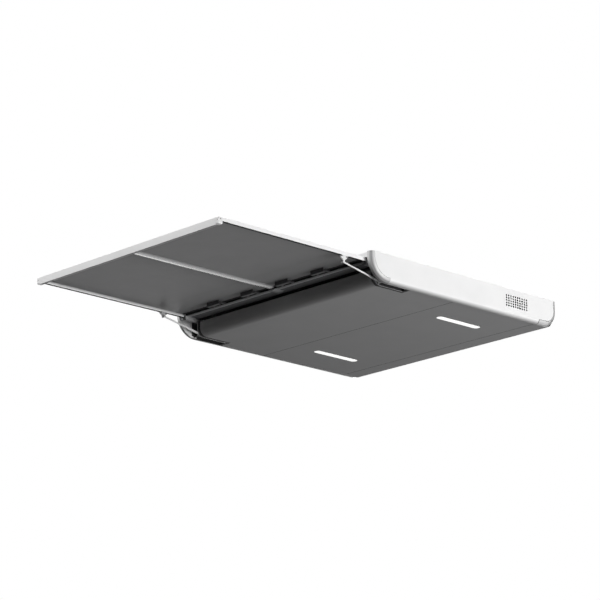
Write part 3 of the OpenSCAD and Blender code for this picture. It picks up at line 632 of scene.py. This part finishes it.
BEAD_W = 3.6 * MM
BEAD_DROP = 0.15 * MM
BEAD_RISE = 2 * MM
SEAL_DEPTH = 13 * MM
SEAL_T = 1.2 * MM


def strip(name, low, high, material, body):
    """A flat strip with chamfered lower edges between two corners."""
    edge = min(high[2] - low[2], high[1] - low[1]) / 4
    mesh = bmesh.new()
    prism(mesh, box_outline(low, high), low[2] + edge, high[2])
    foot = box_outline((low[0] + edge, low[1] + edge), (high[0] - edge, high[1] - edge))
    mesh.verts.ensure_lookup_table()
    mesh.faces.ensure_lookup_table()
    bottom = list(mesh.verts)[:4]
    mesh.faces.remove(mesh.faces[0])
    tip = [mesh.verts.new((x, y, low[2])) for x, y in foot]
    mesh.faces.new(tip[::-1])
    for i in range(4):
        j = (i + 1) % 4
        mesh.faces.new((tip[i], tip[j], bottom[j], bottom[i]))
    piece(name, mesh, material, body)


def seam_bead(name, front, back):
    """A dark sealing bead in the seam between two underside plates."""
    low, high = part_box(front)
    middle = (high.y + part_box(back)[0].y) / 2
    strip(name, (low.x, middle - BEAD_W / 2, low.z - BEAD_DROP),
          (high.x, middle + BEAD_W / 2, low.z + BEAD_RISE), black_rubber, "cassette")


seam_bead("front_seam_bead", "front_plate", "middle_plate")
seam_bead("back_seam_bead", "middle_plate", "back_plate")

low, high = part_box("panel_rear_rail")
strip("panel_edge_seal", (low.x, high.y - SEAL_DEPTH, low.z - SEAL_T), (high.x, high.y, low.z),
      black_rubber, "panel")

RAIL_SEAL_INSET = 0.5 * MM
RAIL_SEAL_T = 2.6 * MM
for side in OUTWARD:
    low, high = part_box("panel_rail_" + side)
    strip("panel_rail_seal_" + side, (low.x + RAIL_SEAL_INSET, low.y, low.z - RAIL_SEAL_T),
          (high.x - RAIL_SEAL_INSET, high.y, low.z), black_rubber, "panel")

SHROUD_HALF = 46 * MM
SHROUD_FRONT = 10.6 * MM
SHROUD_BACK = 8 * MM
SHROUD_T = 1.2 * MM
SHROUD_CLEAR = 0.4 * MM


def hinge_shrouds():
    """A moulded cover in front of and under each hinge, fixed to the panel."""
    low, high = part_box("hinge_pins")
    middle = (low.y + high.y) / 2
    front, back = middle - SHROUD_FRONT, middle + SHROUD_BACK
    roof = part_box("panel_rear_rail")[0].z
    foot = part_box("hinge_panel_leaves")[0].z - SHROUD_CLEAR
    edge = SHROUD_T / 2
    sole, lining = foot - SHROUD_T, front + SHROUD_T
    outline = [(front, sole + edge), (front + edge, sole), (back - edge, sole), (back, sole + edge),
               (back, foot), (lining, foot), (lining, roof), (front, roof)]
    mesh = bmesh.new()
    for x in HINGE_XS:
        bar(mesh, outline, x - SHROUD_HALF, x + SHROUD_HALF)
    piece("hinge_shrouds", mesh, hinge_black, "panel")


hinge_shrouds()

ARC_STEPS = 24


def quarter(y, z, radius, start):
    """Points of a quarter circle about a centre, from an angle in degrees."""
    turns = [math.radians(start + 90 * i / ARC_STEPS) for i in range(ARC_STEPS + 1)]
    return [(y + radius * math.cos(t), z + radius * math.sin(t)) for t in turns]


def band(mesh, outer, inner, start, end, along_x=True):
    """A closed curved band along X, or along Y, between two lines of points across it."""
    rows = [[mesh.verts.new((step, a, b) if along_x else (a, step, b)) for a, b in line]
            for step, line in ((start, outer), (end, outer), (end, inner), (start, inner))]
    for a, b in zip(rows, rows[1:] + rows[:1]):
        for i in range(len(outer) - 1):
            mesh.faces.new((a[i], a[i + 1], b[i + 1], b[i]))
    mesh.faces.new([row[0] for row in rows])
    mesh.faces.new([row[-1] for row in rows][::-1])
    bmesh.ops.recalc_face_normals(mesh, faces=mesh.faces)


GASKET_W = {"front": 0.8 * MM, "back": 1.6 * MM}
GASKET_PROUD = 0.12 * MM
GASKET_SINK = 1.0 * MM


def trim_gasket(end, side):
    """A thin dark gasket along the seam between a corner trim and its side rail."""
    trim_low, trim_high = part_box(f"{end}_corner_{side}")
    lines = []
    for offset in (GASKET_W[end] / 2, -GASKET_W[end] / 2):
        inset = EDGE_R + TRIM_GAP / 2 - offset
        if end == "front":
            arc = quarter(trim_low.y + FRONT_R, FRONT_R, FRONT_R - inset, 180)
            line = [(trim_low.y + inset, trim_high.z)] + arc + [(trim_high.y, inset)]
        else:
            arc = quarter(trim_high.y - BACK_R, BACK_R, BACK_R - inset, 270)
            line = [(trim_low.y, inset)] + arc + [(trim_high.y - inset, trim_high.z)]
        lines.append(line)
    face, outward = rail_face(side), OUTWARD[side]
    mesh = bmesh.new()
    band(mesh, *lines, face - outward * GASKET_SINK, face + outward * GASKET_PROUD)
    piece(f"{end}_trim_gasket_{side}", mesh, black_rubber, "cassette")


SEAM_W = 3.2 * MM


def trim_seam(side):
    """A dark seam across the rounded edge of a side rail, where the back trim starts."""
    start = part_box("back_corner_" + side)[0].y
    face, outward = rail_face(side), OUTWARD[side]
    lines = []
    for offset in (GASKET_PROUD, -GASKET_SINK):
        arc = quarter(0.0, EDGE_R, EDGE_R + offset, 270)
        lines.append([(face + outward * (x - EDGE_R), z) for x, z in arc])
    mesh = bmesh.new()
    band(mesh, *lines, start - SEAM_W / 2, start + SEAM_W / 2, along_x=False)
    piece("back_trim_seam_" + side, mesh, black_rubber, "cassette")


RIM_W = 3 * MM
RIM_PROUD = 0.8 * MM
RIM_SINK = 0.4 * MM


def slot_rim(side):
    """A raised lip along the inner edge of a strut slot, round the front bend."""
    plate_low, plate_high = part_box("front_plate")
    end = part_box("slot_liner_" + side)[1].y - SLOT_RIM
    wall, foot = plate_low.y, plate_low.z
    lines = []
    for offset in (RIM_PROUD, -RIM_SINK):
        arc = quarter(wall + PLATE_R, foot + PLATE_R, PLATE_R + offset, 180)
        lines.append([(wall - offset, plate_high.z)] + arc + [(end, foot - offset)])
    outward = OUTWARD[side]
    edges = sorted((outward * SLOT_INNER, outward * (SLOT_INNER - RIM_W)))
    mesh = bmesh.new()
    band(mesh, *lines, *edges)
    piece("slot_rim_" + side, mesh, rim_grey, "cassette")


SKIRT_T = 1.2 * MM
SKIRT_FOOT = 0.4 * MM


def slot_skirt(side):
    """A black lining on the rail under a strut track, along the slot."""
    liner_low, liner_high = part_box("slot_liner_" + side)
    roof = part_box("strut_track_" + side)[0].z
    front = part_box("front_corner_" + side)[0].y + FRONT_R
    wall = liner_high.x if side == "right" else liner_low.x
    left, right = sorted((wall, wall - OUTWARD[side] * SKIRT_T))
    strip("slot_skirt_" + side, (left, front, SKIRT_FOOT), (right, liner_high.y, roof),
          black_plastic, "cassette")


GUSSET_T = 7 * MM
GUSSET_EAR = 7 * MM
NECK_HALF = 6.3 * MM
NECK_RISE = 11 * MM
PLATE_SINK = 2.5 * MM
BOLT_R = 4.6 * MM
BOLT_INSET = 5 * MM
BOLT_SINK = 1.2 * MM
# Share of the bolt's radius and reach of its head, for the washer and the cap
BOLT_STEPS = ((1.0, 1.4 * MM), (0.72, 2.2 * MM))
BOLT_SIDES = 16


def bracket_gusset(side):
    """A wide tapered plate that stiffens a strut bracket, with two black bolts on its inner face."""
    low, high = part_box("strut_bracket_" + side)
    middle, top = (low.y + high.y) / 2, high.z - PLATE_SINK
    neck, ear = low.z + NECK_RISE, top - GUSSET_EAR
    outline = [(middle - NECK_HALF, neck), (middle + NECK_HALF, neck), (high.y, ear), (high.y, top),
               (low.y, top), (low.y, ear)]
    outward = OUTWARD[side]
    plate, bolts = bmesh.new(), bmesh.new()
    bar(plate, outline, *sorted((outward * BRACKET_IN, outward * (BRACKET_IN + GUSSET_T))))
    for y in (low.y + BOLT_INSET, high.y - BOLT_INSET):
        for share, reach in BOLT_STEPS:
            head = circle(y, top - BOLT_INSET, share * BOLT_R, BOLT_SIDES)
            ends = sorted((outward * (BRACKET_IN - reach), outward * (BRACKET_IN + BOLT_SINK)))
            bar(bolts, head, *ends)
    piece("bracket_gusset_" + side, plate, bracket_white[side], "panel")
    piece("bracket_bolts_" + side, bolts, hinge_black, "panel")


FASCIA_T = 1.6 * MM
FASCIA_PROUD = 0.3 * MM
FASCIA_DROP = 2.5 * MM


def front_fascia():
    """A thin white strip on the front bar's face, with a lip that hangs a little below the bar."""
    low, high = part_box("front_bar")
    front, back = low.y - FASCIA_PROUD, low.y - FASCIA_PROUD + FASCIA_T
    foot, edge = low.z - FASCIA_DROP, FASCIA_T / 4
    outline = [(front, foot + edge), (front + edge, foot), (back - edge, foot), (back, foot + edge),
               (back, high.z - edge), (front + edge, high.z - edge), (front, high.z - 2 * edge)]
    mesh = bmesh.new()
    bar(mesh, outline, low.x, high.x)
    piece("front_fascia", mesh, bar_white, "panel")


front_fascia()

for side in OUTWARD:
    trim_gasket("front", side)
    trim_gasket("back", side)
    trim_seam(side)
    slot_rim(side)
    slot_skirt(side)
    bracket_gusset(side)


# Floor, light and background

FLOOR_Z = -8.5
FLOOR_HALF = 60.0
FLOOR_T = 0.05
FLOOR_PALE = 0.86
FLOOR_SPREAD = 0.02
FLOOR_BOUNCE = 0.02
FLOOR_GLOW = 0.62
AMBIENT = 0.05


def seen_rays(tree):
    """1 for rays of the camera, reflections and clear pieces, 0 for light that bounces."""
    path = tree.nodes.new("ShaderNodeLightPath")
    total = path.outputs["Is Camera Ray"]
    for kind in ("Is Glossy Ray", "Is Transmission Ray"):
        most = tree.nodes.new("ShaderNodeMath")
        most.operation = "MAXIMUM"
        tree.links.new(total, most.inputs[0])
        tree.links.new(path.outputs[kind], most.inputs[1])
        total = most.outputs[0]
    return total


def floor_look():
    """Pale floor with slow cloudiness, which throws little light back up."""
    look = Look("floor_pale", Roughness=0.8, Specular_IOR_Level=0.1)
    seen = seen_rays(look.tree)
    cloud = look.span(look.noise(0.4, 3.0), FLOOR_PALE - FLOOR_SPREAD, FLOOR_PALE + FLOOR_SPREAD)
    look.colour(look.mix(seen, (FLOOR_BOUNCE,) * 3, cloud))
    look.link(look.span(seen, 0.0, FLOOR_GLOW, 0.0, 1.0), look.shader.inputs["Emission Strength"])
    look.shader.inputs["Emission Color"].default_value = (1.0, 1.0, 1.0, 1.0)
    return look.material


mesh = bmesh.new()
prism(mesh, box_outline((-FLOOR_HALF, -FLOOR_HALF), (FLOOR_HALF, FLOOR_HALF)), FLOOR_Z - FLOOR_T, FLOOR_Z)
floor_data = bpy.data.meshes.new("floor")
mesh.to_mesh(floor_data)
mesh.free()
floor_data.materials.append(floor_look())
floor = bpy.data.objects.new("floor", floor_data)
scene.collection.objects.link(floor)

TARGET = Vector((0, 0, 0.07))


def lamp(name, direction, distance, size, power):
    """A square soft box that looks at the object from a direction."""
    data = bpy.data.lights.new(name, "AREA")
    data.shape = "SQUARE"
    data.size = size
    data.energy = power
    made = bpy.data.objects.new(name, data)
    scene.collection.objects.link(made)
    away = Vector(direction).normalized()
    made.location = TARGET + away * distance
    made.rotation_mode = "QUATERNION"
    made.rotation_quaternion = (-away).to_track_quat("-Z", "Y")
    made.visible_camera = False


lamp("key_right", (1.0, 0.2, -0.25), distance=9.0, size=5.0, power=760)
lamp("front_top", (-0.3, -1.0, 1.05), distance=9.0, size=6.0, power=890)
lamp("overhead", (-0.2, 0.3, 1.0), distance=9.0, size=8.0, power=60)
lamp("under_back", (0.1, 0.85, -0.5), distance=12.0, size=5.0, power=120)
lamp("back_left", (-0.9, 0.7, 0.4), distance=9.0, size=6.0, power=350)

world = bpy.data.worlds.new("studio")
scene.world = world
world.use_nodes = True
tree = world.node_tree
background = tree.nodes["Background"]
level = tree.nodes.new("ShaderNodeMapRange")
level.inputs["To Min"].default_value = AMBIENT
level.inputs["To Max"].default_value = 1.0
tree.links.new(seen_rays(tree), level.inputs["Value"])
tree.links.new(level.outputs["Result"], background.inputs["Strength"])
background.inputs["Color"].default_value = (1.0, 1.0, 1.0, 1.0)
